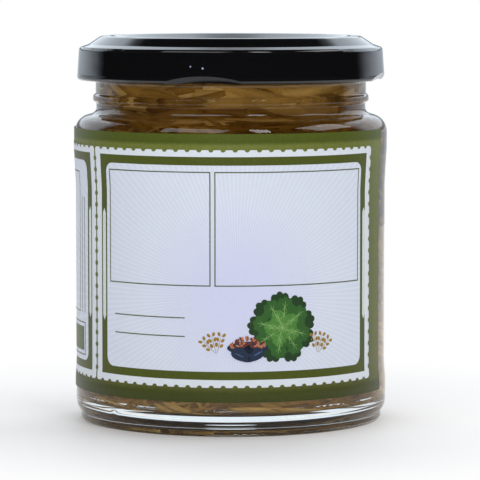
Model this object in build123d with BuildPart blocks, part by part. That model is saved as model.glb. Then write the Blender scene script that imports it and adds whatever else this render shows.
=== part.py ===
from build123d import *
import os
from math import atan, degrees, radians, sin, tan

# A shut, filled jar of sauerkraut, in millimetres. +Z is up and the origin is the middle of
# the underside. The middle of the label's widest panel faces -Y.

# Glass body
body_radius = 37.5  # over the ring above the label
ring_inset = 0.15  # the ring below the label is this much smaller
label_recess = 0.5  # depth of the band between the two rings
lower_ring = 1.7  # foot of the label to the end of the lower ring
lower_slope = 4.3  # lower ring to the band
upper_slope = 9.0  # band to the upper ring
upper_ring = 3.45  # upper ring to the start of the shoulder
ring_bend = 7.0
slope_bend = 17.0
upper_bend = 26.0
jar_height = 90.0  # underside to rim
wall = 2.1  # beside the label

# Base
floor_edge = 4.85  # inside floor, at the wall
floor_rise = 1.2  # inside floor, middle above its edge
floor_round = 3.9
push_up = 2.4  # hollow of the underside, at the middle
stand_width = 4.5  # ring that the jar stands on
stand_rise = 1.05  # step from that ring into the hollow
stand_slope = 1.3
foot_inset = 1.1  # lower ring to the foot
foot_height = 2.05
foot_draft = 0.1
foot_round = 0.8
foot_bend = 0.7
heel_height = 3.35
heel_bend = 4.3
dome_bend = 130.0  # of the hollow and of the inside floor

# Shoulder and neck
shoulder_inset = 5.2  # ring to neck
shoulder_radius = 4.1
shoulder_rise = 1.55  # corner above the ring to the foot of the neck
neck_height = 8.3  # foot of the neck to the foot of the finish
neck_flare = 0.15  # the neck above its bead is this much larger
neck_wall = 1.65
neck_bend = 1.7
bead_height = 2.3  # the bead's size along the neck
bead_lift = 2.25  # foot of the neck to the bead
bead_depth = 0.8
bead_slope = 0.6
bead_round = 0.5

# Finish, with the lugs that hold the lid
finish_height = 7.95
finish_step = 1.55  # finish to neck
finish_slope = 1.0
finish_round = 0.7
rim_round = 1.2
lug_count = 4
thread_depth = 1.1
thread_sunk = 0.5  # root of a thread inside the glass
thread_root = 2.3
thread_crest = 1.4
thread_arc = 46.0  # degrees
thread_slope = 3.5  # degrees
thread_lift = 3.4  # foot of the finish to the middle of a thread

# Lid
sheet = 0.35
lid_height = 10.5
seat_gap = 1.65  # rim to the sheet under the crown
thread_gap = 0.35  # threads to the curl
thread_play = 0.1  # threads to the lid's lugs
curl_width = 1.55
curl_height = 1.9
curl_round = 0.75
skirt_taper = 0.45
skirt_bend = 0.9
shoulder_width = 5.25  # top of the skirt to the edge of the crown
shoulder_drop = 2.75
ledge_width = 2.3  # gentler part of the shoulder, next to the skirt
ledge_rise = 0.78
ledge_bend = 1.2
crown_width = 2.3
crown_bend = 1.8
dish_width = 4.9  # crown to the recessed panel
dish_depth = 1.7
dish_bend = 1.7
button_radius = 16.8
button_step = 0.8
button_rise = 0.2
button_bend = 0.7
lug_angle = 80.0  # the first of the lid's lugs, degrees from +X
lug_arc = 16.0  # degrees
lug_reach = 0.95
lug_thickness = 1.0
lug_trail = 15.0  # middle of a lug behind the middle of its thread, degrees
facet_depth = 1.25  # flat that each lug leaves at the foot of the skirt
facet_tilt = 40.0  # degrees below level
facet_block = 26.0  # size of the block that cuts a facet

# Label
label_lift = 8.2  # underside to the label
label_overlap = 1.1  # label over the start of the shoulder
paper = 0.15
glue = 0.02
window_width = 25.2  # bare glass between the label's ends, round +X

# Contents
headspace = 2.5  # rim to the contents
fill_gap = 0.05

# Shared radii and heights
ring_radius = body_radius - ring_inset
band_radius = body_radius - label_recess
inner_radius = band_radius - wall
foot_radius = ring_radius - foot_inset
neck_radius = body_radius - shoulder_inset
bore_radius = neck_radius - neck_wall
finish_radius = neck_radius + finish_step
finish_foot = jar_height - finish_height
neck_foot = finish_foot - neck_height
shoulder_corner = neck_foot - shoulder_rise
shoulder_lean = degrees(atan(shoulder_rise / shoulder_inset))
shoulder_start = shoulder_corner - shoulder_radius * tan(radians(45 - shoulder_lean / 2))


def outline(start, corners, end):
    """Straight runs from start to end, with the given radius at each corner."""
    return FilletPolyline(start, *[at for at, _ in corners], end, radius=[r for _, r in corners])


def band_corners(gap):
    """Corners of the glass from the ring below the label to the ring above it, moved out by gap."""
    ring_top = label_lift + lower_ring
    slope_top = shoulder_start - upper_ring
    return [
        ((ring_radius + gap, ring_top), ring_bend),
        ((band_radius + gap, ring_top + lower_slope), slope_bend),
        ((band_radius + gap, slope_top - upper_slope), upper_bend),
        ((body_radius + gap, slope_top), slope_bend),
    ]


def cavity_corners(gap):
    """Corners of the inside, from the floor to the neck, moved in by gap."""
    shoulder = shoulder_corner - wall - gap
    rise = shoulder_rise / shoulder_inset
    return [
        ((inner_radius / 3, floor_edge + floor_rise + gap), dome_bend),
        ((inner_radius - gap, floor_edge + gap), floor_round),
        ((inner_radius - gap, shoulder + rise * (body_radius - inner_radius)), shoulder_radius - neck_wall),
        ((bore_radius - gap, shoulder + rise * (body_radius - bore_radius)), neck_bend),
    ]


# One thread on the glass: a short ridge round an axis that leans, so that it climbs
thread_middle = finish_foot + thread_lift
thread_axis = Axis((0, 0, thread_middle), Vector(0, 0, 1).rotate(Axis.X, thread_slope))
thread_start = Vector(1, 0, 0).rotate(thread_axis, -thread_arc / 2)
thread_plane = Plane(
    (0, 0, thread_middle), x_dir=thread_start, z_dir=thread_start.cross(thread_axis.direction)
)
with BuildPart() as thread:
    with BuildSketch(thread_plane):
        with BuildLine():
            Polyline(
                (finish_radius - thread_sunk, -thread_root / 2),
                (finish_radius + thread_depth, -thread_crest / 2),
                (finish_radius + thread_depth, thread_crest / 2),
                (finish_radius - thread_sunk, thread_root / 2),
                close=True,
            )
        make_face()
    revolve(axis=thread_axis, revolution_arc=thread_arc)

# Glass jar: one outline from the middle of the underside, up the outside and down the inside
stand_edge = foot_radius - foot_draft
hollow_edge = stand_edge - stand_width
base_corners = [
    ((stand_edge / 3, push_up), dome_bend),
    ((hollow_edge - stand_slope, stand_rise), neck_bend),
    ((hollow_edge, 0), foot_round),
    ((stand_edge, 0), foot_round),
    ((foot_radius, foot_height), foot_bend),
    ((ring_radius, heel_height), heel_bend),
]
bead_foot = neck_foot + bead_lift
bead_top = bead_foot + bead_height
bead_radius = neck_radius + bead_depth
upper_neck = neck_radius + neck_flare
neck_corners = [
    ((body_radius, shoulder_corner), shoulder_radius),
    ((neck_radius, neck_foot), neck_bend),
    ((neck_radius, bead_foot), bead_round),
    ((bead_radius, bead_foot + bead_slope), bead_round),
    ((bead_radius, bead_top - bead_slope), bead_round),
    ((upper_neck, bead_top), bead_round),
    ((upper_neck, finish_foot - finish_slope), finish_round),
    ((finish_radius, finish_foot), finish_round),
    ((finish_radius, jar_height), rim_round),
    ((bore_radius, jar_height), finish_round),
]
with BuildPart() as jar:
    with BuildSketch(Plane.XZ):
        with BuildLine():
            glass = outline(
                (0, push_up),
                base_corners + band_corners(0) + neck_corners + cavity_corners(0)[::-1],
                (0, floor_edge + floor_rise),
            )
            Line(glass @ 1, glass @ 0)
        make_face()
    revolve(axis=Axis.Z)
    with PolarLocations(0, lug_count, start_angle=lug_angle + lug_trail):
        add(thread.part)
jar.part.label = "jar"

# Contents: brine and cabbage, packed to just under the rim
fill_level = jar_height - headspace
with BuildPart() as sauerkraut:
    with BuildSketch(Plane.XZ):
        with BuildLine():
            inside = outline(
                (0, floor_edge + floor_rise + fill_gap),
                cavity_corners(fill_gap),
                (bore_radius - fill_gap, fill_level),
            )
            Polyline(inside @ 1, (0, fill_level), inside @ 0)
        make_face()
    revolve(axis=Axis.Z)
sauerkraut.part.label = "sauerkraut"

# Label: paper round the glass, open across the window
label_top = shoulder_start + label_overlap
window_half = degrees(window_width / body_radius) / 2
with BuildPart() as label:
    with BuildSketch(Plane.XZ.rotated((0, 0, window_half))):
        with BuildLine():
            back = outline(
                (ring_radius + glue, label_lift),
                band_corners(glue),
                (body_radius + glue, label_top),
            )
            front = outline(
                (ring_radius + glue + paper, label_lift),
                band_corners(glue + paper),
                (body_radius + glue + paper, label_top),
            )
            Line(back @ 0, front @ 0)
            Line(back @ 1, front @ 1)
        make_face()
    revolve(axis=Axis.Z, revolution_arc=360 - 2 * window_half)
label.part.label = "label"

# Lid: pressed sheet with a curled foot and lugs that reach under the threads
curl_inside = finish_radius + thread_depth + thread_gap
skirt_foot = curl_inside + curl_width
skirt_top = skirt_foot - skirt_taper
lid_crown = jar_height + seat_gap + sheet
lid_foot = lid_crown - lid_height
crown_edge = skirt_top - shoulder_width
dish_edge = crown_edge - crown_width
panel_height = lid_crown - dish_depth
button_height = panel_height + button_rise
thread_drop = finish_radius * sin(radians(thread_arc / 2)) * tan(radians(thread_slope))
lug_top = thread_middle - thread_drop - thread_root / 2 - thread_play
lug_angles = [lug_angle + 360 / lug_count * turn for turn in range(lug_count)]
facets = [
    Location((0, 0, 0), (0, 0, angle))
    * Location((skirt_foot, 0, lid_foot), (0, facet_tilt, 0))
    * Location((-facet_depth, 0, 0))
    for angle in lug_angles
]
with BuildPart() as lid:
    with BuildSketch(Plane.XZ):
        with BuildLine():
            top = outline(
                (0, button_height),
                [
                    ((button_radius, button_height), button_bend),
                    ((button_radius + button_step, panel_height), button_bend),
                    ((dish_edge - dish_width, panel_height), dish_bend),
                    ((dish_edge, lid_crown), dish_bend),
                    ((crown_edge, lid_crown), crown_bend),
                    ((skirt_top - ledge_width, lid_crown - shoulder_drop + ledge_rise), ledge_bend),
                    ((skirt_top, lid_crown - shoulder_drop), skirt_bend),
                ],
                (skirt_foot, lid_foot + curl_height / 2),
            )
            offset(top, amount=sheet, side=Side.RIGHT)
        make_face()
    revolve(axis=Axis.Z)
    with BuildSketch(Plane.XZ) as curl:
        with Locations((skirt_foot, lid_foot)):
            Rectangle(curl_width, curl_height, align=(Align.MAX, Align.MIN))
        fillet(curl.vertices(), curl_round)
    revolve(axis=Axis.Z)
    for angle in lug_angles:
        with BuildSketch(Plane.XZ.rotated((0, 0, angle - lug_arc / 2))):
            with Locations((curl_inside - lug_reach, lug_top)):
                Rectangle(lug_reach + curl_width - sheet / 2, lug_thickness, align=(Align.MIN, Align.MAX))
        revolve(axis=Axis.Z, revolution_arc=lug_arc)
    with Locations(*facets):
        Box(facet_block, facet_block, facet_block, align=(Align.MIN, Align.CENTER, Align.CENTER),
            mode=Mode.SUBTRACT)
lid.part.label = "lid"

os.makedirs("parts", exist_ok=True)
for piece in (jar, sauerkraut, label, lid):
    export_step(piece.part, f"parts/{piece.part.label}.step")
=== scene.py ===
import bpy
import bmesh
import math
import random
from mathutils import Matrix, Vector


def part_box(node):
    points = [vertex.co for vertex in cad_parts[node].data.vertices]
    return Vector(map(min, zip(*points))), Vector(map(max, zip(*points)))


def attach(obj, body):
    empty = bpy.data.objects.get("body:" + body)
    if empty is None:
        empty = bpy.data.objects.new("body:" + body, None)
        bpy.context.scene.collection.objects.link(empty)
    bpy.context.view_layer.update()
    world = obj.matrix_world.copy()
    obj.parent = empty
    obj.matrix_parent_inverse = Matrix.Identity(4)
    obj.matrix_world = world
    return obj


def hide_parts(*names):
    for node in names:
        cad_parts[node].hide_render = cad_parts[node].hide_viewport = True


# A shut jar of sauerkraut. The glass, the lid and the label keep their meshes. The label's
# print is thin layers laid on the paper, and the contents are a core that reaches just into
# the glass, with loose shreds of cabbage pressed against it.

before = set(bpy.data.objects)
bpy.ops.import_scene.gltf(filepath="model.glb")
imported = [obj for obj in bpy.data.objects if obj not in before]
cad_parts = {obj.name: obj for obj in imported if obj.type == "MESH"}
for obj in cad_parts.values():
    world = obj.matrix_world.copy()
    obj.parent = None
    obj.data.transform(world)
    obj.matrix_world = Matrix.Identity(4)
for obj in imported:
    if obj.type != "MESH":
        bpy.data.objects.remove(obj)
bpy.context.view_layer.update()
mm = 0.001
print("frame loaded:", sorted(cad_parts))


def newMaterial(name, **values):
    material = bpy.data.materials.new(name)
    material.use_nodes = True
    shader = material.node_tree.nodes["Principled BSDF"]
    for socket, value in values.items():
        shader.inputs[socket.replace("_", " ")].default_value = value
    return material, material.node_tree.nodes, material.node_tree.links, shader


def addNode(nodes, kind, values=None, **settings):
    node = nodes.new(kind)
    for key, value in settings.items():
        setattr(node, key, value)
    for socket, value in (values or {}).items():
        node.inputs[socket].default_value = value
    return node


def setRamp(node, stops):
    ramp = node.color_ramp
    while len(ramp.elements) < len(stops):
        ramp.elements.new(0.5)
    for element, (place, color) in zip(ramp.elements, stops):
        element.position = place
        element.color = (*color, 1)


# linear colour from the 0 to 255 values of a swatch
def srgb(red, green, blue):
    def linear(value):
        value /= 255
        return value / 12.92 if value <= 0.04045 else ((value + 0.055) / 1.055) ** 2.4
    return linear(red), linear(green), linear(blue)


# fine mottling and tooth, shared by the paper, its inks, the dust and the contents
def buildGrain():
    group = bpy.data.node_groups.new("grain", "ShaderNodeTree")
    for name, value in (("Scale", 900.0), ("Strength", 0.1), ("Cloud Scale", 60.0), ("Cloud", 0.05)):
        group.interface.new_socket(name, in_out="INPUT", socket_type="NodeSocketFloat").default_value = value
    group.interface.new_socket("Color", in_out="INPUT", socket_type="NodeSocketColor")
    group.interface.new_socket("Color", in_out="OUTPUT", socket_type="NodeSocketColor")
    group.interface.new_socket("Height", in_out="OUTPUT", socket_type="NodeSocketFloat")
    nodes, links = group.nodes, group.links
    given, made = nodes.new("NodeGroupInput"), nodes.new("NodeGroupOutput")
    place = nodes.new("ShaderNodeTexCoord")
    fine = addNode(nodes, "ShaderNodeTexNoise", {"Detail": 3.0, "Roughness": 0.6})
    cloud = addNode(nodes, "ShaderNodeTexNoise", {"Detail": 2.0})
    for noise, scale in ((fine, "Scale"), (cloud, "Cloud Scale")):
        links.new(place.outputs["Object"], noise.inputs["Vector"])
        links.new(given.outputs[scale], noise.inputs["Scale"])
    shade = None
    for noise, strength in ((fine, "Strength"), (cloud, "Cloud")):
        centred = addNode(nodes, "ShaderNodeMath", {1: 0.5}, operation="SUBTRACT")
        scaled = addNode(nodes, "ShaderNodeMath", operation="MULTIPLY")
        links.new(noise.outputs["Fac"], centred.inputs[0])
        links.new(centred.outputs[0], scaled.inputs[0])
        links.new(given.outputs[strength], scaled.inputs[1])
        total = addNode(nodes, "ShaderNodeMath", {1: 1.0}, operation="ADD")
        links.new(scaled.outputs[0], total.inputs[0])
        if shade:
            links.new(shade.outputs[0], total.inputs[1])
        shade = total
    tinted = addNode(nodes, "ShaderNodeMix", data_type="RGBA", blend_type="MULTIPLY")
    tinted.inputs["Factor"].default_value = 1.0
    links.new(given.outputs["Color"], tinted.inputs[6])
    links.new(shade.outputs[0], tinted.inputs[7])
    links.new(tinted.outputs[2], made.inputs["Color"])
    links.new(fine.outputs["Fac"], made.inputs["Height"])
    return group


grain = buildGrain()


# feeds a colour or a colour socket through the grain into the shader
def addGrain(nodes, links, shader, color, bump, **values):
    node = addNode(nodes, "ShaderNodeGroup", node_tree=grain)
    for socket, value in values.items():
        node.inputs[socket.replace("_", " ")].default_value = value
    if isinstance(color, tuple):
        node.inputs["Color"].default_value = (*color, 1)
    else:
        links.new(color, node.inputs["Color"])
    relief = addNode(nodes, "ShaderNodeBump", {"Strength": bump, "Distance": 0.0001})
    links.new(node.outputs["Color"], shader.inputs["Base Color"])
    links.new(node.outputs["Height"], relief.inputs["Height"])
    links.new(relief.outputs["Normal"], shader.inputs["Normal"])
    return node


def dress(node, material):
    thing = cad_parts[node]
    for slot in thing.material_slots:
        slot.material = material


def addPiece(name, bm, material):
    mesh = bpy.data.meshes.new(name)
    bm.to_mesh(mesh)
    bm.free()
    mesh.shade_smooth()
    mesh.materials.append(material)
    piece = bpy.data.objects.new(name, mesh)
    bpy.context.scene.collection.objects.link(piece)
    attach(piece, "root")
    return piece


glass = {
    "tint": (0.97, 0.99, 0.975),
    "ior": 1.5,
    "roughness": 0.0,
    "rippleScale": 55.0,
    "ripple": {"Strength": 0.12, "Distance": 0.0006},
}


def makeGlass():
    material, nodes, links, shader = newMaterial(
        "clearGlass", Transmission_Weight=1.0, IOR=glass["ior"], Roughness=glass["roughness"]
    )
    place = nodes.new("ShaderNodeTexCoord")
    ripple = addNode(nodes, "ShaderNodeTexNoise", {"Scale": glass["rippleScale"], "Detail": 1.0})
    relief = addNode(nodes, "ShaderNodeBump", glass["ripple"])
    links.new(place.outputs["Object"], ripple.inputs["Vector"])
    links.new(ripple.outputs["Fac"], relief.inputs["Height"])
    links.new(relief.outputs["Normal"], shader.inputs["Normal"])
    shader.inputs["Base Color"].default_value = (*glass["tint"], 1)
    dress("jar", material)
    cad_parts["jar"].visible_shadow = False
    print("glass dressed")


lid = {
    "lacquer": (0.0035, 0.0035, 0.004),
    "roughness": 0.05,
    "smudge": 0.05,  # added to the roughness where the lacquer is dull
    "smudgeScale": 80.0,
    "dust": (0.05, 0.055, 0.07),
    "dustScale": 230.0,
    "dustEdge": 0.05,
    "dustShare": 0.5,
    "peelScale": 360.0,
    "peel": {"Strength": 0.05, "Distance": 0.0002},
    "specks": ((-14.5, 85.6, 0.2), (-10.0, 85.2, 0.26)),  # degrees round, height and radius
    "speckColor": srgb(150, 160, 190),
    "speckDepth": 0.3,  # share of its radius
}


def lacquerMaterial():
    material, nodes, links, shader = newMaterial("blackLacquer", Coat_Weight=0.3, Coat_Roughness=0.03)
    place = nodes.new("ShaderNodeTexCoord")
    dust = addNode(nodes, "ShaderNodeTexVoronoi", {"Scale": lid["dustScale"]}, feature="F1")
    links.new(place.outputs["Object"], dust.inputs["Vector"])
    speck = addNode(nodes, "ShaderNodeMapRange", {1: 0.0, 2: lid["dustEdge"], 3: lid["dustShare"], 4: 0.0})
    links.new(dust.outputs["Distance"], speck.inputs[0])
    color = addNode(nodes, "ShaderNodeMix", data_type="RGBA")
    color.inputs[6].default_value = (*lid["lacquer"], 1)
    color.inputs[7].default_value = (*lid["dust"], 1)
    links.new(speck.outputs[0], color.inputs["Factor"])
    links.new(color.outputs[2], shader.inputs["Base Color"])
    smudge = addNode(nodes, "ShaderNodeTexNoise", {"Scale": lid["smudgeScale"], "Detail": 3.0})
    links.new(place.outputs["Object"], smudge.inputs["Vector"])
    clean, dull = lid["roughness"], lid["roughness"] + lid["smudge"]
    sheen = addNode(nodes, "ShaderNodeMapRange", {1: 0.3, 2: 0.7, 3: clean, 4: dull})
    links.new(smudge.outputs["Fac"], sheen.inputs[0])
    links.new(sheen.outputs[0], shader.inputs["Roughness"])
    peel = addNode(nodes, "ShaderNodeTexNoise", {"Scale": lid["peelScale"], "Detail": 1.0})
    links.new(place.outputs["Object"], peel.inputs["Vector"])
    relief = addNode(nodes, "ShaderNodeBump", lid["peel"])
    links.new(peel.outputs["Fac"], relief.inputs["Height"])
    links.new(relief.outputs["Normal"], shader.inputs["Normal"])
    return material


def makeLid():
    dress("lid", lacquerMaterial())
    dust, nodes, links, shader = newMaterial("dust", Roughness=0.6)
    addGrain(nodes, links, shader, lid["speckColor"], 0.3, Strength=0.3, Cloud=0.2)
    specks = bmesh.new()
    for degrees, height, radius in lid["specks"]:
        turn = Matrix.Rotation(math.radians(degrees), 4, "Z")
        outside = turn @ Vector((0, 2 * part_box("lid")[0].y, height * mm))
        _, spot, _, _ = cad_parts["lid"].ray_cast(outside, turn @ Vector((0, 1, 0)))
        size = Matrix.Diagonal((radius * mm, radius * mm * lid["speckDepth"], radius * mm, 1))
        bmesh.ops.create_uvsphere(
            specks, u_segments=10, v_segments=6, radius=1, matrix=Matrix.Translation(spot) @ turn @ size
        )
    addPiece("lidSpecks", specks, dust)
    print("lid dressed")


label = {
    # print greens from the label's foot to its top; the paler band just under the dark top band is a painted
    # sheen, a glossy reflection of the lamps put into the colour
    "greensWithPaintedSheen": (  # with the share of the label's height where each stands
        (0.0, srgb(56, 62, 8)), (0.035, srgb(60, 66, 10)), (0.055, srgb(86, 90, 34)),
        (0.2, srgb(88, 94, 34)), (0.85, srgb(92, 100, 36)), (0.955, srgb(106, 114, 46)),
        (0.968, srgb(70, 80, 6)), (1.0, srgb(74, 86, 8)),
    ),
    "roughness": 0.42,
    "specular": 0.35,
    "tooth": 1300.0,
}
# how far each layer of print stands over the paper, in mm
layers = {
    "stampBorders": 0.05, "stampBars": 0.08, "stampBites": 0.09, "stampPanels": 0.11,
    "framePills": 0.13, "boxLines": 0.14, "sprigGold": 0.14, "leafDark": 0.14, "leafMid": 0.16,
    "leafLight": 0.18, "leafVein": 0.2, "bowlBlue": 0.22, "bowlShine": 0.235, "bitsBrown": 0.25,
    "bitsPale": 0.265,
}
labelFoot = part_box("label")[0].z / mm
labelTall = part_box("label")[1].z / mm - labelFoot


# outer radius of the label at each height where its mesh has a ring
def labelOutline():
    rings = {}
    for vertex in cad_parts["label"].data.vertices:
        x, y, z = vertex.co / mm
        height = round(z, 1)
        rings[height] = max(rings.get(height, 0), math.hypot(x, y))
    return sorted(rings.items())


labelRings = labelOutline()
meanRadius = sum(r for _, r in labelRings) / len(labelRings)


def labelRadius(height):
    below = [ring for ring in labelRings if ring[0] <= height][-1:] or labelRings[:1]
    above = [ring for ring in labelRings if ring[0] >= height][:1] or labelRings[-1:]
    (z0, r0), (z1, r1) = below[0], above[0]
    return r0 if z1 == z0 else r0 + (r1 - r0) * (height - z0) / (z1 - z0)


def paperMaterial():
    material, nodes, links, shader = newMaterial(
        "greenPaper", Roughness=label["roughness"], Specular_IOR_Level=label["specular"]
    )
    place = nodes.new("ShaderNodeTexCoord")
    split = nodes.new("ShaderNodeSeparateXYZ")
    links.new(place.outputs["Object"], split.inputs[0])
    rise = addNode(nodes, "ShaderNodeMapRange", {1: labelFoot * mm, 2: (labelFoot + labelTall) * mm})
    links.new(split.outputs["Z"], rise.inputs[0])
    # this ramp paints the sheen band into the paper's green
    ramp = nodes.new("ShaderNodeValToRGB")
    setRamp(ramp, label["greensWithPaintedSheen"])
    links.new(rise.outputs[0], ramp.inputs[0])
    addGrain(nodes, links, shader, ramp.outputs[0], 0.3, Scale=label["tooth"], Strength=0.5, Cloud=0.15)
    return material


def inkMaterial(name, color, cloud=0.05, strength=0.1):
    material, nodes, links, shader = newMaterial(
        name, Roughness=label["roughness"], Specular_IOR_Level=label["specular"]
    )
    addGrain(nodes, links, shader, color, 0.25, Scale=label["tooth"], Strength=strength, Cloud=cloud)
    return material


def rectangle(bm, left, right, low, high, corner=0.0):
    middle = Matrix.Translation(((left + right) / 2, (low + high) / 2, 0))
    size = Matrix.Diagonal((right - left, high - low, 1, 1))
    made = bmesh.ops.create_grid(bm, x_segments=1, y_segments=1, size=0.5, matrix=middle @ size)
    if corner:
        bmesh.ops.bevel(
            bm, geom=made["verts"], offset=corner, segments=6, profile=0.5, affect="VERTICES", material=-1
        )


def frameLines(bm, left, right, low, high, line):
    rectangle(bm, left, right, low, low + line)
    rectangle(bm, left, right, high - line, high)
    rectangle(bm, left, left + line, low, high)
    rectangle(bm, right - line, right, low, high)


def disc(bm, x, y, width, height=None, turn=0.0, segments=16):
    matrix = Matrix.Translation((x, y, 0)) @ Matrix.Rotation(math.radians(turn), 4, "Z")
    matrix @= Matrix.Diagonal((width / 2, (height or width) / 2, 1, 1))
    bmesh.ops.create_circle(bm, cap_ends=True, segments=segments, radius=1, matrix=matrix)


# cuts flat shapes into narrow strips, so that they follow the round glass
def sliceForBend(bm, left, right, low, high, step=2.2):
    for axis, first, last in ((0, left, right), (1, low, high)):
        count = int((last - first) / step) + 1
        for cut in range(count + 1):
            point, normal = Vector((0, 0, 0)), Vector((0, 0, 0))
            point[axis] = (math.floor(first / step) + cut) * step
            normal[axis] = 1
            geometry = bm.verts[:] + bm.edges[:] + bm.faces[:]
            bmesh.ops.bisect_plane(bm, geom=geometry, dist=0.0005, plane_co=point, plane_no=normal)


# lays a flat drawing, in mm right of the front and up from the label's foot, on the paper
def wrapOnLabel(name, bm, material):
    for vertex in bm.verts:
        along, up = vertex.co.x, vertex.co.y
        angle = along / meanRadius
        radius = labelRadius(labelFoot + up) + layers[name]
        vertex.co = Vector((radius * math.sin(angle), -radius * math.cos(angle), labelFoot + up)) * mm
    bmesh.ops.recalc_face_normals(bm, faces=bm.faces[:])
    for face in bm.faces:
        middle = face.calc_center_median()
        if face.normal.x * middle.x + face.normal.y * middle.y < 0:
            face.normal_flip()
    return addPiece(name, bm, material)


stamps = {
    "edges": (-157.7, -115.3, -37.7, 39.9),  # where one stamp ends and the next starts
    "low": 3.45,
    "high": 58.35,
    "gap": 0.5,  # of bare paper between two stamps
    "border": 2.15,
    "bar": 2.15,
    "barSpan": (5.25, 56.75),
    "panelSpan": (7.15, 54.8),
    "corner": 2.2,
    "pitch": 2.76,
    "bite": 1.25,
    "biteShift": 0.1,
    "white": srgb(214, 220, 228),
    "pale": srgb(207, 214, 228),
    "haze": srgb(196, 198, 232),
    "ray": srgb(222, 227, 240),
    "rays": 170,
    "rayMiddle": (1.5, 25.0),
    "rayShare": 0.45,
    "hazeReach": (3.0, 26.0),
    "hazeShare": 0.75,
    "barGreen": srgb(70, 79, 6),
}


def stampSpans():
    edges = stamps["edges"]
    return list(zip(edges[:-1], edges[1:]))


# pale paper with a haze in its middle and faint rays round a point on the label
def panelMaterial():
    material, nodes, links, shader = newMaterial(
        "panelInk", Roughness=label["roughness"], Specular_IOR_Level=label["specular"]
    )
    place = nodes.new("ShaderNodeTexCoord")
    split = nodes.new("ShaderNodeSeparateXYZ")
    links.new(place.outputs["Object"], split.inputs[0])
    forward = addNode(nodes, "ShaderNodeMath", {1: -1.0}, operation="MULTIPLY")
    links.new(split.outputs["Y"], forward.inputs[0])
    around = addNode(nodes, "ShaderNodeMath", operation="ARCTAN2")
    links.new(split.outputs["X"], around.inputs[0])
    links.new(forward.outputs[0], around.inputs[1])
    side, height = stamps["rayMiddle"]
    along = addNode(nodes, "ShaderNodeMath", {1: meanRadius, 2: -side}, operation="MULTIPLY_ADD")
    links.new(around.outputs[0], along.inputs[0])
    up = addNode(nodes, "ShaderNodeMath", {1: 1 / mm, 2: -labelFoot - height}, operation="MULTIPLY_ADD")
    links.new(split.outputs["Z"], up.inputs[0])
    turn = addNode(nodes, "ShaderNodeMath", operation="ARCTAN2")
    links.new(up.outputs[0], turn.inputs[0])
    links.new(along.outputs[0], turn.inputs[1])
    count = addNode(nodes, "ShaderNodeMath", {1: float(stamps["rays"])}, operation="MULTIPLY")
    links.new(turn.outputs[0], count.inputs[0])
    wave = addNode(nodes, "ShaderNodeMath", operation="SINE")
    links.new(count.outputs[0], wave.inputs[0])
    flat = nodes.new("ShaderNodeCombineXYZ")
    links.new(along.outputs[0], flat.inputs[0])
    links.new(up.outputs[0], flat.inputs[1])
    away = addNode(nodes, "ShaderNodeVectorMath", operation="LENGTH")
    links.new(flat.outputs[0], away.inputs[0])
    near, far = stamps["hazeReach"]
    span = {1: near, 2: far, 3: stamps["hazeShare"], 4: 0.0}
    haze = addNode(nodes, "ShaderNodeMapRange", span, interpolation_type="SMOOTHSTEP")
    links.new(away.outputs["Value"], haze.inputs[0])
    ground = addNode(nodes, "ShaderNodeMix", data_type="RGBA")
    ground.inputs[6].default_value = (*stamps["pale"], 1)
    ground.inputs[7].default_value = (*stamps["haze"], 1)
    links.new(haze.outputs[0], ground.inputs["Factor"])
    bright = addNode(nodes, "ShaderNodeMapRange", {1: 0.1, 2: 0.9, 3: 0.0, 4: stamps["rayShare"]})
    links.new(wave.outputs[0], bright.inputs[0])
    rays = addNode(nodes, "ShaderNodeMix", data_type="RGBA")
    rays.inputs[7].default_value = (*stamps["ray"], 1)
    links.new(bright.outputs[0], rays.inputs["Factor"])
    links.new(ground.outputs[2], rays.inputs[6])
    addGrain(nodes, links, shader, rays.outputs[2], 0.2, Strength=0.06, Cloud=0.03)
    return material


def printStamps():
    white = inkMaterial("borderInk", stamps["white"], strength=0.12)
    green = inkMaterial("frameInk", stamps["barGreen"], cloud=0.15, strength=0.45)
    low, high, border, bar = stamps["low"], stamps["high"], stamps["border"], stamps["bar"]
    half, end, shift = stamps["gap"] / 2, stamps["edges"][-1], stamps["biteShift"]
    borders, bars, panels, bites = bmesh.new(), bmesh.new(), bmesh.new(), bmesh.new()
    for left, right in stampSpans():
        first, last = left + half, right - (0 if right == end else half)
        rectangle(borders, first, last, low, high)
        rectangle(bars, first + border, last - border, *stamps["barSpan"])
        inside = border + bar
        rectangle(panels, first + inside, last - inside, *stamps["panelSpan"], corner=stamps["corner"])
        across = round((right - left) / stamps["pitch"])
        for tooth in range(across + 1):
            x = left + (right - left) * tooth / across
            disc(bites, x, high + shift, stamps["bite"])
            disc(bites, x, low - shift, stamps["bite"])
        upright = round((high - low) / stamps["pitch"])
        for tooth in range(1, upright):
            y = low + (high - low) * tooth / upright
            disc(bites, left, y, stamps["bite"])
            if right == end:
                disc(bites, right + shift, y, stamps["bite"])
    span = (stamps["edges"][0], end, low, high)
    for bm in (borders, bars, panels):
        sliceForBend(bm, *span)
    wrapOnLabel("stampBorders", borders, white)
    wrapOnLabel("stampBars", bars, green)
    wrapOnLabel("stampPanels", panels, panelMaterial())
    wrapOnLabel("stampBites", bites, paper)
    print("stamps printed")


# all in mm right of the front and up from the label's foot
boxes = {
    "line": 0.26,
    "green": srgb(80, 92, 44),
    # left, right, foot and top of each plain frame: two on the front, two on the next stamp
    "frames": (
        (-32.0, -4.6, 26.9, 53.35), (-3.7, 34.7, 26.9, 53.35),
        (-108.0, -44.0, 8.3, 16.2), (-105.5, -48.0, 18.5, 52.0),
    ),
    "block": (-106.9, -45.1, 9.4, 15.1),
    # left, right and height of each rule
    "rules": ((-30.2, -10.7, 19.4), (-30.2, -10.7, 15.1)),
    "lastRules": {"span": (-151.5, -121.5), "lowest": 12.0, "pitch": 4.6, "count": 9},
    "uprights": {"places": (-44.3, -46.1), "span": (18.5, 46.0)},
    "pills": (-40.9, -34.2, 37.1, -109.2, -118.9, -154.1),
    "pillSpan": (18.9, 42.9),
    "pillWidth": 1.2,
    "pillWhite": srgb(206, 212, 208),
}


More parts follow.
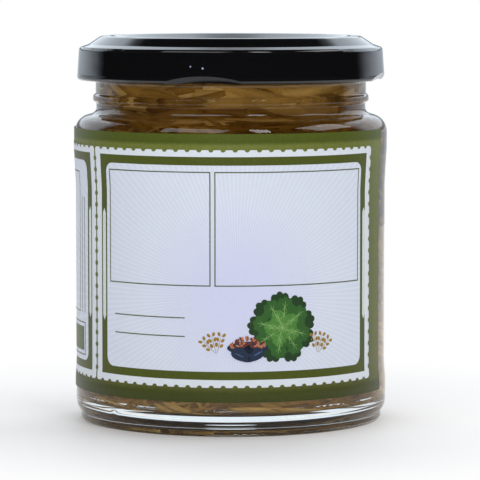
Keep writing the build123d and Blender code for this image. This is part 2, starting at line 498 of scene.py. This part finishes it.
def printBoxes():
    line, last = boxes["line"], boxes["lastRules"]
    edges = stamps["edges"]
    bm = bmesh.new()
    for corners in boxes["frames"]:
        frameLines(bm, *corners, line)
    rectangle(bm, *boxes["block"])
    rows = [last["lowest"] + last["pitch"] * row for row in range(last["count"])]
    for left, right, height in (*boxes["rules"], *((*last["span"], row) for row in rows)):
        rectangle(bm, left, right, height, height + line)
    for x in boxes["uprights"]["places"]:
        rectangle(bm, x - line, x, *boxes["uprights"]["span"])
    sliceForBend(bm, edges[0], edges[-1], stamps["low"], stamps["high"])
    wrapOnLabel("boxLines", bm, inkMaterial("lineInk", boxes["green"], strength=0.25))
    pills = bmesh.new()
    foot, top = boxes["pillSpan"]
    wide = boxes["pillWidth"]
    for middle in boxes["pills"]:
        rectangle(pills, middle - wide / 2, middle + wide / 2, foot, top)
        for tip in (foot, top):
            disc(pills, middle, tip, wide, 2 * wide, segments=4)
    sliceForBend(pills, edges[0], edges[-1], foot - wide, top + wide)
    wrapOnLabel("framePills", pills, inkMaterial("pillInk", boxes["pillWhite"], cloud=0.15, strength=0.3))
    print("boxes and rules printed")


picture = {
    "cabbage": (12.3, 17.2),
    "cabbageWidth": 15.6,
    # ink, count, then as shares of half the head: distance out, length and width, then first angle
    "leaves": (
        ("leafDark", 9, 0.6, 0.86, 0.72, 12), ("leafMid", 8, 0.5, 0.76, 0.58, 34),
        ("leafDark", 6, 0.34, 0.66, 0.56, 8), ("leafLight", 5, 0.26, 0.56, 0.44, 40),
    ),
    "bowl": (4.0, 11.9),
    "bowlWidth": 9.6,
    "bits": 90,
    "sprigs": ((-3.2, -1, 11.2), (21.4, 1, 10.8)),  # place, lean and foot
    "span": (-8, 27, 6, 28),
    "inks": {
        "sprigGold": srgb(150, 118, 44),
        "leafDark": srgb(26, 58, 22),
        "leafMid": srgb(44, 92, 34),
        "leafLight": srgb(72, 126, 50),
        "leafVein": srgb(126, 168, 96),
        "bowlBlue": srgb(26, 42, 66),
        "bowlShine": srgb(70, 98, 132),
        "bitsBrown": srgb(104, 46, 30),
        "bitsPale": srgb(176, 112, 82),
    },
}


# a scalloped leaf: a lobed edge round an oval, turned to point away from the head
def leaf(bm, x, y, length, width, turn, lobes=5):
    disc(bm, x, y, length, width, turn, 24)
    step = Matrix.Rotation(math.radians(turn), 2)
    for lobe in range(lobes):
        angle = math.radians(-70 + 140 * lobe / (lobes - 1))
        spot = step @ Vector((length * 0.42 * math.cos(angle), width * 0.42 * math.sin(angle)))
        disc(bm, x + spot.x, y + spot.y, length * 0.3, width * 0.3, turn, 12)


def drawCabbage(drawn, rng):
    x0, y0 = picture["cabbage"]
    half = picture["cabbageWidth"] / 2
    for name, count, out, length, width, start in picture["leaves"]:
        for each in range(count):
            turn = start + 360 * each / count + rng.uniform(-6, 6)
            way = Vector((math.cos(math.radians(turn)), math.sin(math.radians(turn))))
            x, y = x0 + half * out * way.x, y0 + half * out * way.y
            leaf(drawn[name], x, y, half * length, half * width, turn)
            if name != "leafDark":
                disc(drawn["leafVein"], x, y, half * length * 0.9, 0.16, turn, 6)
                for side in (-1, 1):
                    for rib in (-0.15, 0.15):
                        spot = way * half * length * rib
                        rise = turn + 38 * side
                        disc(drawn["leafVein"], x + spot.x, y + spot.y, half * 0.32, 0.11, rise, 6)
    disc(drawn["leafLight"], x0, y0, half * 0.5, half * 0.46, 20, 20)
    for vein in range(6):
        disc(drawn["leafVein"], x0, y0, half * 0.42, 0.14, vein * 30 + 8, 6)


def drawBowl(drawn, rng):
    x0, y0 = picture["bowl"]
    half = picture["bowlWidth"] / 2
    disc(drawn["bowlBlue"], x0, y0 + 0.8, half * 2, half * 0.62, segments=28)
    disc(drawn["bowlBlue"], x0, y0 - 0.35, half * 1.62, half * 0.86, segments=28)
    disc(drawn["bowlBlue"], x0, y0 - 1.7, half * 0.8, half * 0.34, segments=20)
    disc(drawn["bowlShine"], x0 + half * 0.5, y0 - 0.5, half * 0.5, 0.3, 28, 10)
    disc(drawn["bowlShine"], x0 - half * 0.4, y0 - 0.9, half * 0.5, 0.2, -24, 10)
    for bit in range(picture["bits"]):
        across = rng.uniform(-0.84, 0.84)
        x = x0 + half * across
        y = y0 + 0.9 + rng.uniform(0, 2.5) * (1 - across * across)
        ink = "bitsBrown" if bit % 3 else "bitsPale"
        disc(drawn[ink], x, y, rng.uniform(0.5, 1.1), 0.4, rng.uniform(0, 180), 7)


def drawSprigs(drawn):
    for x, lean, low in picture["sprigs"]:
        for stem in (-1, 0, 1):
            turn = 90 + 30 * stem - 16 * lean
            step = Vector((math.cos(math.radians(turn)), math.sin(math.radians(turn))))
            foot = Vector((x, low))
            disc(drawn["sprigGold"], *(foot + step * 2.4), 4.8, 0.15, turn, 6)
            for berry in range(3):
                for side in (-1, 1):
                    aside = Vector((-step.y, step.x)) * 0.6 * side
                    spot = foot + step * (2.2 + berry * 1.25) + aside
                    disc(drawn["sprigGold"], spot.x, spot.y, 1.05, 0.7, turn + 30 * side, 10)


def printPicture():
    rng = random.Random(5)
    drawn = {name: bmesh.new() for name in picture["inks"]}
    drawCabbage(drawn, rng)
    drawBowl(drawn, rng)
    drawSprigs(drawn)
    for name, color in picture["inks"].items():
        sliceForBend(drawn[name], *picture["span"])
        wrapOnLabel(name, drawn[name], inkMaterial(name + "Ink", color, cloud=0.3, strength=0.5))
    print("picture printed")


contents = {
    "reach": 0.1,  # how far the core goes into the glass
    "steps": 144,
    "shreds": 2000,
    "length": (9.0, 30.0),
    "width": (1.2, 3.2),
    "thickness": (0.3, 0.6),
    "sink": (-0.28, 0.12),  # middle of a shred over the inside of the glass
    "slope": 0.3,  # spread of the shreds' lean, radians
    "bend": 0.03,
    "lowest": 12.0,  # along the outline from the middle of the floor
    "middle": (15, 50),  # radius and height of a point that sees the whole outline
    "browns": (  # of the shreds, from the darkest
        (0.0, srgb(126, 94, 42)), (0.35, srgb(148, 114, 56)), (0.7, srgb(168, 134, 74)),
        (1.0, srgb(196, 166, 108)),
    ),
    "brine": (
        (0.3, srgb(74, 48, 16)), (0.45, srgb(112, 80, 32)), (0.58, srgb(146, 110, 50)),
        (0.75, srgb(172, 136, 74)),
    ),
    # painted light and shade over the contents' height: golden painted light at the foot, brown painted
    # shade under the shoulder, paler painted light up the neck
    "paintedLightAndShade": (
        (0.0, srgb(255, 246, 214)), (0.14, srgb(250, 236, 200)), (0.3, srgb(205, 190, 160)),
        (0.8, srgb(160, 142, 112)), (0.855, srgb(172, 152, 120)), (0.9, srgb(255, 244, 224)),
        (1.0, srgb(255, 240, 216)),
    ),
}


# radius and height, in mm, from the middle of the floor up the glass to the top of the contents
def cavityOutline():
    found = {}
    radius, height = contents["middle"]
    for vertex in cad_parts["sauerkraut"].data.vertices:
        x, y, z = vertex.co / mm
        spot = (round(math.hypot(x, y), 1), round(z, 1))
        found[spot] = math.atan2(spot[1] - height, spot[0] - radius)
    return sorted(found, key=found.get)


# multiplies a colour by the painted light and shade for its height in the jar
def paintLightAndShadeByHeight(nodes, links, color):
    low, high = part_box("sauerkraut")
    place = nodes.new("ShaderNodeTexCoord")
    split = nodes.new("ShaderNodeSeparateXYZ")
    links.new(place.outputs["Object"], split.inputs[0])
    height = addNode(nodes, "ShaderNodeMapRange", {1: low.z, 2: high.z})
    links.new(split.outputs["Z"], height.inputs[0])
    ramp = nodes.new("ShaderNodeValToRGB")
    setRamp(ramp, contents["paintedLightAndShade"])
    links.new(height.outputs[0], ramp.inputs[0])
    shaded = addNode(nodes, "ShaderNodeMix", {0: 1.0}, data_type="RGBA", blend_type="MULTIPLY")
    links.new(color, shaded.inputs[6])
    links.new(ramp.outputs[0], shaded.inputs[7])
    return shaded.outputs[2]


def shredMaterial():
    material, nodes, links, shader = newMaterial("cabbageShreds", Roughness=0.5, Specular_IOR_Level=0.0)
    tone = addNode(nodes, "ShaderNodeAttribute", attribute_name="tone")
    ramp = nodes.new("ShaderNodeValToRGB")
    setRamp(ramp, contents["browns"])
    links.new(tone.outputs["Fac"], ramp.inputs[0])
    # painted light and shade by height over the shreds' colour
    shaded = paintLightAndShadeByHeight(nodes, links, ramp.outputs[0])
    addGrain(nodes, links, shader, shaded, 0.5, Scale=1600.0, Strength=0.5, Cloud_Scale=120.0, Cloud=0.8)
    return material


def brineMaterial():
    material, nodes, links, shader = newMaterial("brine", Roughness=0.5, Specular_IOR_Level=0.0)
    place = nodes.new("ShaderNodeTexCoord")
    stretch = nodes.new("ShaderNodeMapping")
    stretch.inputs["Scale"].default_value = (1, 1, 2.6)
    links.new(place.outputs["Object"], stretch.inputs["Vector"])
    rough = {"Scale": 120.0, "Detail": 5.0, "Roughness": 0.65, "Distortion": 1.5}
    clouds = addNode(nodes, "ShaderNodeTexNoise", rough)
    links.new(stretch.outputs[0], clouds.inputs["Vector"])
    ramp = nodes.new("ShaderNodeValToRGB")
    setRamp(ramp, contents["brine"])
    links.new(clouds.outputs["Fac"], ramp.inputs[0])
    # painted light and shade by height over the brine's colour
    shaded = paintLightAndShadeByHeight(nodes, links, ramp.outputs[0])
    addGrain(nodes, links, shader, shaded, 0.5, Scale=1400.0, Strength=0.4, Cloud_Scale=50.0, Cloud=0.5)
    return material


def makeContents():
    outline = cavityOutline()
    outline = [(0.0, outline[0][1])] + outline + [(0.0, outline[-1][1])]
    core = bmesh.new()
    points = []
    for index, (radius, height) in enumerate(outline):
        before, after = outline[max(index - 1, 0)], outline[min(index + 1, len(outline) - 1)]
        run = (Vector(after) - Vector(before)).normalized()
        out = Vector((run.y, -run.x)) * contents["reach"]
        if 0 < index < len(outline) - 2:
            radius, height = radius + out.x, height + out.y
        points.append(core.verts.new((radius * mm, 0, height * mm)))
    rim = [core.edges.new(pair) for pair in zip(points[:-1], points[1:])]
    bmesh.ops.spin(
        core, geom=points + rim, axis=(0, 0, 1), cent=(0, 0, 0), angle=math.tau, steps=contents["steps"],
        use_merge=True, use_normal_flip=False,
    )
    bmesh.ops.remove_doubles(core, verts=core.verts[:], dist=0.00001)
    bmesh.ops.recalc_face_normals(core, faces=core.faces[:])
    piece = addPiece("brineCore", core, brineMaterial())
    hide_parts("sauerkraut")

    # lengths along the outline, so that a shred can run over the floor, the shoulder and the neck
    wall = outline[1:-1]
    reach = [0.0]
    for first, second in zip(wall[:-1], wall[1:]):
        reach.append(reach[-1] + math.dist(first, second))

    def onWall(travel):
        travel = min(max(travel, 0.01), reach[-1] - 0.01)
        index = next(i for i in range(1, len(reach)) if reach[i] >= travel)
        share = (travel - reach[index - 1]) / max(reach[index] - reach[index - 1], 1e-6)
        first, second = Vector(wall[index - 1]), Vector(wall[index])
        run = (second - first).normalized()
        return first.lerp(second, share), Vector((run.y, -run.x))

    # a straight strip, copied and bent for every shred
    strip = bpy.data.meshes.new("strip")
    cut = bmesh.new()
    bmesh.ops.create_cube(cut, size=1)
    long = [e for e in cut.edges if abs(e.verts[0].co.x - e.verts[1].co.x) > 0.5]
    bmesh.ops.subdivide_edges(cut, edges=long, cuts=9)
    cut.to_mesh(strip)
    cut.free()

    rng = random.Random(11)
    shreds = bmesh.new()
    tones = shreds.verts.layers.float.new("tone")
    for _ in range(contents["shreds"]):
        start = len(shreds.verts)
        shreds.from_mesh(strip)
        shreds.verts.ensure_lookup_table()
        length, width = rng.uniform(*contents["length"]), rng.uniform(*contents["width"])
        thickness = rng.uniform(*contents["thickness"])
        travel = rng.uniform(contents["lowest"], reach[-1] - 1)
        around = rng.uniform(0, math.tau)
        slope = rng.gauss(0, contents["slope"])
        bend = rng.gauss(0, contents["bend"])
        sink = rng.uniform(*contents["sink"])
        tone = rng.random()
        for vertex in shreds.verts[start:]:
            u, v, w = vertex.co
            distance = u * length
            turn = slope + bend * distance * 0.5
            taper = 1 - 0.75 * (2 * abs(u)) ** 5
            side = v * width * taper
            east = distance * math.cos(turn) - side * math.sin(turn)
            north = distance * math.sin(turn) + side * math.cos(turn)
            spot, out = onWall(travel + north)
            lift = sink + w * thickness * taper
            radius, height = spot.x + out.x * lift, spot.y + out.y * lift
            angle = around + east / max(spot.x, 8)
            vertex.co = Vector((radius * math.cos(angle), radius * math.sin(angle), height)) * mm
            vertex[tones] = tone
    bmesh.ops.recalc_face_normals(shreds, faces=shreds.faces[:])
    addPiece("cabbageShreds", shreds, shredMaterial())
    print("contents made")


stage = {
    "floor": 0.6,
    "floorTone": (0.9, 0.9, 0.905),
    "clear": (0.05, 0.14),  # where the floor fades into the white of the backdrop
    "white": 1.0,
    "ambient": 0.38,
    "room": 0.03,  # in front of the jar, as gloss and glass see it
    "turns": (0.34, 0.5),  # how far back the room gives way to the cloth
    "tint": (0.82, 0.91, 1.0),
    # what gloss sees from straight down to straight up: floor, cloth behind, dark ceiling
    "cloth": (
        (0.0, 0.75), (0.498, 0.75), (0.502, 1.0), (0.512, 1.0), (0.52, 0.35), (0.55, 0.35),
        (0.575, 1.0), (0.80, 1.0), (0.83, 0.2), (0.86, 0.008), (0.985, 0.008), (1.0, 0.3),
    ),
    "glow": 1.6,  # of the cloth above the place where it starts
    "glowStart": (0.55, 0.58),
}


def makeFloor():
    floor = bmesh.new()
    bmesh.ops.create_circle(floor, cap_ends=True, segments=96, radius=stage["floor"])
    mesh = bpy.data.meshes.new("floor")
    floor.to_mesh(mesh)
    floor.free()
    material, nodes, links, shader = newMaterial("paleFloor", Roughness=0.6)
    shader.inputs["Base Color"].default_value = (*stage["floorTone"], 1)
    place = nodes.new("ShaderNodeTexCoord")
    away = addNode(nodes, "ShaderNodeVectorMath", operation="LENGTH")
    links.new(place.outputs["Object"], away.inputs[0])
    near, far = stage["clear"]
    fade = addNode(nodes, "ShaderNodeMapRange", {1: near, 2: far}, interpolation_type="SMOOTHSTEP")
    links.new(away.outputs["Value"], fade.inputs[0])
    path = nodes.new("ShaderNodeLightPath")
    seen = addNode(nodes, "ShaderNodeMath", operation="MAXIMUM")
    links.new(path.outputs["Is Camera Ray"], seen.inputs[0])
    links.new(path.outputs["Is Transmission Ray"], seen.inputs[1])
    share = addNode(nodes, "ShaderNodeMath", operation="MULTIPLY")
    links.new(fade.outputs[0], share.inputs[0])
    links.new(seen.outputs[0], share.inputs[1])
    white = addNode(nodes, "ShaderNodeEmission", {"Strength": stage["white"]})
    both = nodes.new("ShaderNodeMixShader")
    links.new(share.outputs[0], both.inputs[0])
    links.new(shader.outputs[0], both.inputs[1])
    links.new(white.outputs[0], both.inputs[2])
    links.new(both.outputs[0], nodes["Material Output"].inputs["Surface"])
    mesh.materials.append(material)
    thing = bpy.data.objects.new("floor", mesh)
    bpy.context.scene.collection.objects.link(thing)


def makeWorld():
    world = bpy.data.worlds.new("studio")
    bpy.context.scene.world = world
    world.use_nodes = True
    nodes, links = world.node_tree.nodes, world.node_tree.links
    shell = nodes["Background"]
    path = nodes.new("ShaderNodeLightPath")
    place = nodes.new("ShaderNodeTexCoord")
    way = nodes.new("ShaderNodeSeparateXYZ")
    links.new(place.outputs["Generated"], way.inputs[0])
    # a white cloth behind the jar, and a dark room in front
    front, back = stage["turns"]
    behind = addNode(nodes, "ShaderNodeMapRange", {1: front, 2: back, 3: stage["room"], 4: 1.0})
    links.new(way.outputs["Y"], behind.inputs[0])
    rise = addNode(nodes, "ShaderNodeMapRange", {1: -1.0, 2: 1.0})
    links.new(way.outputs["Z"], rise.inputs[0])
    bands = nodes.new("ShaderNodeValToRGB")
    setRamp(bands, [(at, (level, level, level)) for at, level in stage["cloth"]])
    links.new(rise.outputs[0], bands.inputs[0])
    start, full = stage["glowStart"]
    lifted = addNode(nodes, "ShaderNodeMapRange", {1: start, 2: full, 3: 1.0, 4: stage["glow"]})
    links.new(rise.outputs[0], lifted.inputs[0])
    banded = addNode(nodes, "ShaderNodeMath", operation="MULTIPLY")
    links.new(bands.outputs[0], banded.inputs[0])
    links.new(lifted.outputs[0], banded.inputs[1])
    mirrored = addNode(nodes, "ShaderNodeMath", operation="MULTIPLY")
    links.new(behind.outputs[0], mirrored.inputs[0])
    links.new(banded.outputs[0], mirrored.inputs[1])
    studio = nodes.new("ShaderNodeMix")
    links.new(path.outputs["Is Transmission Ray"], studio.inputs["Factor"])
    links.new(mirrored.outputs[0], studio.inputs["A"])
    links.new(behind.outputs[0], studio.inputs["B"])
    # whatever lights a matt surface is even all round
    soft = addNode(nodes, "ShaderNodeMath", {1: 0.5}, operation="GREATER_THAN")
    links.new(path.outputs["Diffuse Depth"], soft.inputs[0])
    level = addNode(nodes, "ShaderNodeMix", {"B": stage["ambient"]})
    links.new(soft.outputs[0], level.inputs["Factor"])
    links.new(studio.outputs[0], level.inputs["A"])
    shown = addNode(nodes, "ShaderNodeMix", {"B": stage["white"]})
    links.new(path.outputs["Is Camera Ray"], shown.inputs["Factor"])
    links.new(level.outputs[0], shown.inputs["A"])
    links.new(shown.outputs[0], shell.inputs["Strength"])
    tint = addNode(nodes, "ShaderNodeMix", data_type="RGBA")
    tint.inputs[6].default_value = (1, 1, 1, 1)
    tint.inputs[7].default_value = (*stage["tint"], 1)
    links.new(path.outputs["Is Glossy Ray"], tint.inputs["Factor"])
    links.new(tint.outputs[2], shell.inputs["Color"])


# place, size and power of each softbox, and whether gloss shows it
lampAim = Vector((0, 0, 0.05))
lamps = {
    "leftBox": ((-0.37, -0.57, 0.78), (0.75, 0.42), 2.2, True),
    "frontBox": ((0.31, -0.64, 0.76), (0.2, 0.35), 1.2, True),
    "rightBox": ((0.7, 0.06, 0.76), (0.65, 0.4), 2.2, True),
    "topBox": ((0.0, 0.55, 0.9), (0.9, 0.36), 4.5, False),
    "fillBox": ((0.0, -1.3, 0.12), (0.9, 0.5), 5.0, False),
}


def makeLamps():
    for name, (place, size, power, shown) in lamps.items():
        lamp = bpy.data.lights.new(name, "AREA")
        lamp.shape = "RECTANGLE"
        lamp.size, lamp.size_y = size
        lamp.energy = power
        thing = bpy.data.objects.new(name, lamp)
        thing.location = place
        thing.rotation_euler = (lampAim - Vector(place)).to_track_quat("-Z", "Y").to_euler()
        thing.visible_glossy = shown
        bpy.context.scene.collection.objects.link(thing)


camera = {"place": (0.0022, -0.7820, 0.1083), "dip": 4.79, "lens": 244.0}


def makeCamera():
    data = bpy.data.cameras.new("camera")
    data.lens = camera["lens"]
    data.sensor_width = 36
    thing = bpy.data.objects.new("camera", data)
    thing.location = camera["place"]
    thing.rotation_euler = (math.radians(90 - camera["dip"]), 0, 0)
    bpy.context.scene.collection.objects.link(thing)
    bpy.context.scene.camera = thing


makeCamera()
makeFloor()
makeWorld()
makeLamps()
bpy.context.scene.view_settings.view_transform = "Standard"
print("stage set")

makeGlass()
makeLid()
paper = paperMaterial()
dress("label", paper)
printStamps()
printBoxes()
printPicture()
makeContents()
